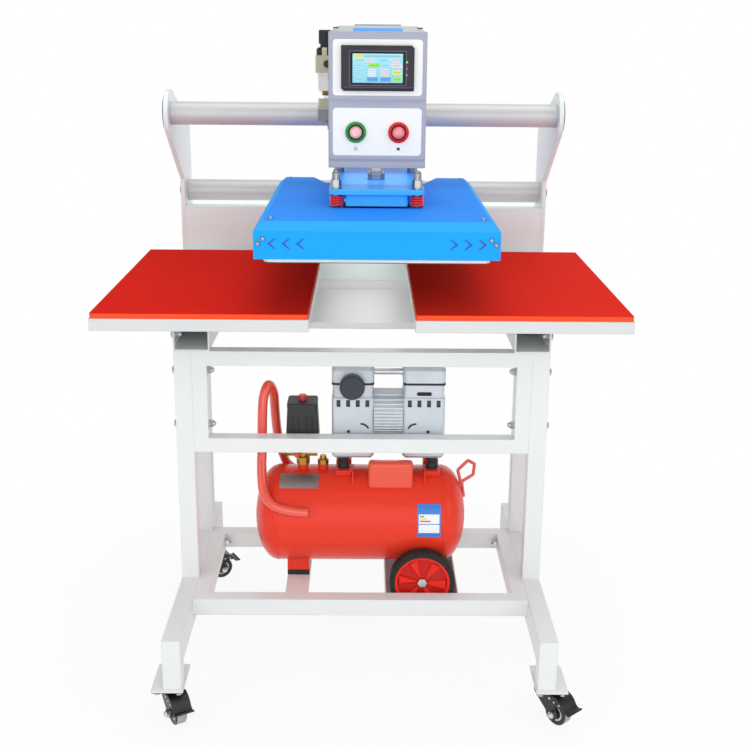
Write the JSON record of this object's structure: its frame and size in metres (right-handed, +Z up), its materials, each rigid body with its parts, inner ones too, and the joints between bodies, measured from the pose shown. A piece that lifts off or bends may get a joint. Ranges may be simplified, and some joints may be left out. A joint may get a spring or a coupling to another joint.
{
  "type": "dual shuttle heat press",
  "caption": "Pneumatic heat press on a castered stand: the platen head slides on two shafts between two mats, with an air compressor on the shelf below.",
  "frame": {"origin": "on the floor, under the middle of the machine's outline", "axes": "+Z up; the operator stands on the -Y side, facing +Y; +X to the operator's right"},
  "size_m": [1.004, 0.8786, 1.309],
  "materials": {
    "stand_paint": "satin",
    "tray_paint": "satin",
    "pan_steel": "satin",
    "plate_paint": "satin",
    "hard_chrome": "polished",
    "black_paint": "satin",
    "zinc": "polished",
    "silicone": "matt",
    "caster_black": "satin",
    "caster_tread": "satin",
    "carriage_paint": "satin",
    "bronze": "machined",
    "cylinder_aluminium": "anodised",
    "box_paint": "satin",
    "lid_paint": "satin",
    "panel_white": "gloss",
    "bezel_plastic": "satin",
    "screen_glass": "gloss",
    "ring_plastic": "gloss",
    "button_green": "gloss",
    "button_red": "gloss",
    "regulator_body": "satin",
    "clear_bowl": "gloss",
    "knob_black": "matt",
    "plate_blue": "gloss",
    "spring_red": "gloss",
    "frame_steel": "mill",
    "platen_aluminium": "cast",
    "cover_blue": "gloss",
    "tank_red": "gloss",
    "foot_rubber": "matt",
    "pump_alloy": "cast",
    "pipe_alloy": "satin",
    "filter_black": "satin",
    "switch_black": "satin",
    "switch_red": "gloss",
    "tyre_black": "matt"
  },
  "bodies": {
    "base": {"side_frames": "stand_paint", "top_front_frame": "stand_paint", "shelf_frame": "stand_paint", "rails": "stand_paint", "base_pan": "pan_steel", "back_beam": "pan_steel", "side_plates": "plate_paint", "guide_shafts": "hard_chrome", "shaft_end_discs": "black_paint", "stand_bolts": "zinc", "trays": "tray_paint", "mats": "silicone", "caster_top_plates": "caster_black", "air_tank": "tank_red", "tank_handle": "tank_red", "rubber_feet": "foot_rubber", "pump_heads": "pump_alloy", "pump_motor": "pump_alloy", "air_pipes": "pipe_alloy", "air_filter": "filter_black", "pressure_switch": "switch_black", "capacitor_cover": "tank_red", "axle_bolts": "zinc"},
    "head": {"head_carriage": "carriage_paint", "carriage_bushes": "bronze", "air_cylinder": "cylinder_aluminium", "control_box": "box_paint", "box_top_cover": "lid_paint", "front_panels": "panel_white", "panel_computer": "bezel_plastic", "touch_screen": "screen_glass", "button_rings": "ring_plastic", "regulator_body": "regulator_body", "filter_bowl": "clear_bowl"},
    "press_plate": {"piston_rod": "hard_chrome", "floating_plate": "plate_blue"},
    "platen": {"guide_studs": "zinc", "platen_springs": "spring_red", "pressure_frame": "frame_steel", "heat_platen": "platen_aluminium", "head_cover": "cover_blue", "cover_screws": "zinc"},
    "green_button": {"green_button": "button_green"},
    "red_button": {"red_button": "button_red"},
    "regulator_knob": {"regulator_knob": "knob_black"},
    "switch_knob": {"switch_knob": "switch_red"},
    "compressor_wheel_front": {"compressor_wheel_front": "tyre_black"},
    "compressor_wheel_rear": {"compressor_wheel_rear": "tyre_black"},
    "fork_front_left": {"caster_fork_front_left": "caster_black"},
    "wheel_front_left": {"caster_wheel_front_left": "caster_tread"},
    "pedal_front_left": {"caster_pedal_front_left": "caster_black"},
    "fork_front_right": {"caster_fork_front_right": "caster_black"},
    "wheel_front_right": {"caster_wheel_front_right": "caster_tread"},
    "pedal_front_right": {"caster_pedal_front_right": "caster_black"},
    "fork_rear_left": {"caster_fork_rear_left": "caster_black"},
    "wheel_rear_left": {"caster_wheel_rear_left": "caster_tread"},
    "pedal_rear_left": {"caster_pedal_rear_left": "caster_black"},
    "fork_rear_right": {"caster_fork_rear_right": "caster_black"},
    "wheel_rear_right": {"caster_wheel_rear_right": "caster_tread"},
    "pedal_rear_right": {"caster_pedal_rear_right": "caster_black"}
  },
  "joints": [
    {"name": "shuttle", "type": "slide", "parent": "base", "child": "head", "axis": [1, 0, 0], "range_m": [-0.328, 0.276]},
    {"name": "press", "type": "slide", "parent": "head", "child": "press_plate", "axis": [0, 0, 1], "range_m": [-0.0965, 0]},
    {"name": "platen_float", "type": "slide", "parent": "press_plate", "child": "platen", "axis": [0, 0, 1], "range_m": [0, 0.0026], "stiffness_N_per_m": 200000, "deforming": ["platen_springs"]},
    {"name": "green_button_press", "type": "slide", "parent": "head", "child": "green_button", "axis": [0, 1, 0], "range_m": [0, 0.004], "stiffness_N_per_m": 400},
    {"name": "red_button_press", "type": "slide", "parent": "head", "child": "red_button", "axis": [0, 1, 0], "range_m": [0, 0.004], "stiffness_N_per_m": 400},
    {"name": "regulator_turn", "type": "hinge", "parent": "head", "child": "regulator_knob", "pos_m": [-0.08, 0.11426, 1.28], "axis": [0, 0, 1], "range_deg": [-720, 720]},
    {"name": "switch_pull", "type": "slide", "parent": "base", "child": "switch_knob", "axis": [0, 0, 1], "range_m": [0, 0.004]},
    {"name": "swivel_front_left", "type": "hinge", "parent": "base", "child": "fork_front_left", "pos_m": [-0.3675, -0.36874, 0.07], "axis": [0, 0, 1], "continuous": true},
    {"name": "roll_front_left", "type": "hinge", "parent": "fork_front_left", "child": "wheel_front_left", "pos_m": [-0.3535, -0.39299, 0.025], "axis": [0.866, 0.5, 0], "continuous": true},
    {"name": "brake_front_left", "type": "hinge", "parent": "fork_front_left", "child": "pedal_front_left", "pos_m": [-0.3575, -0.38606, 0.057], "axis": [0.866, 0.5, 0], "range_deg": [0, 12]},
    {"name": "swivel_front_right", "type": "hinge", "parent": "base", "child": "fork_front_right", "pos_m": [0.3675, -0.36874, 0.07], "axis": [0, 0, 1], "continuous": true},
    {"name": "roll_front_right", "type": "hinge", "parent": "fork_front_right", "child": "wheel_front_right", "pos_m": [0.3855, -0.39019, 0.025], "axis": [0.766, 0.6428, 0], "continuous": true},
    {"name": "brake_front_right", "type": "hinge", "parent": "fork_front_right", "child": "pedal_front_right", "pos_m": [0.38036, -0.38406, 0.057], "axis": [0.766, 0.6428, 0], "range_deg": [0, 12]},
    {"name": "swivel_rear_left", "type": "hinge", "parent": "base", "child": "fork_rear_left", "pos_m": [-0.3675, 0.18526, 0.07], "axis": [0, 0, 1], "continuous": true},
    {"name": "roll_rear_left", "type": "hinge", "parent": "fork_rear_left", "child": "wheel_rear_left", "pos_m": [-0.34325, 0.19926, 0.025], "axis": [-0.5, 0.866, 0], "continuous": true},
    {"name": "brake_rear_left", "type": "hinge", "parent": "fork_rear_left", "child": "pedal_rear_left", "pos_m": [-0.35018, 0.19526, 0.057], "axis": [-0.5, 0.866, 0], "range_deg": [0, 12]},
    {"name": "swivel_rear_right", "type": "hinge", "parent": "base", "child": "fork_rear_right", "pos_m": [0.3675, 0.18526, 0.07], "axis": [0, 0, 1], "continuous": true},
    {"name": "roll_rear_right", "type": "hinge", "parent": "fork_rear_right", "child": "wheel_rear_right", "pos_m": [0.39175, 0.19926, 0.025], "axis": [-0.5, 0.866, 0], "continuous": true},
    {"name": "brake_rear_right", "type": "hinge", "parent": "fork_rear_right", "child": "pedal_rear_right", "pos_m": [0.38482, 0.19526, 0.057], "axis": [-0.5, 0.866, 0], "range_deg": [0, 12]},
    {"name": "compressor_roll_front", "type": "hinge", "parent": "base", "child": "compressor_wheel_front", "pos_m": [0.126, -0.20274, 0.205], "axis": [0, 1, 0], "continuous": true},
    {"name": "compressor_roll_rear", "type": "hinge", "parent": "base", "child": "compressor_wheel_rear", "pos_m": [0.126, 0.01926, 0.205], "axis": [0, 1, 0], "continuous": true}
  ]
}
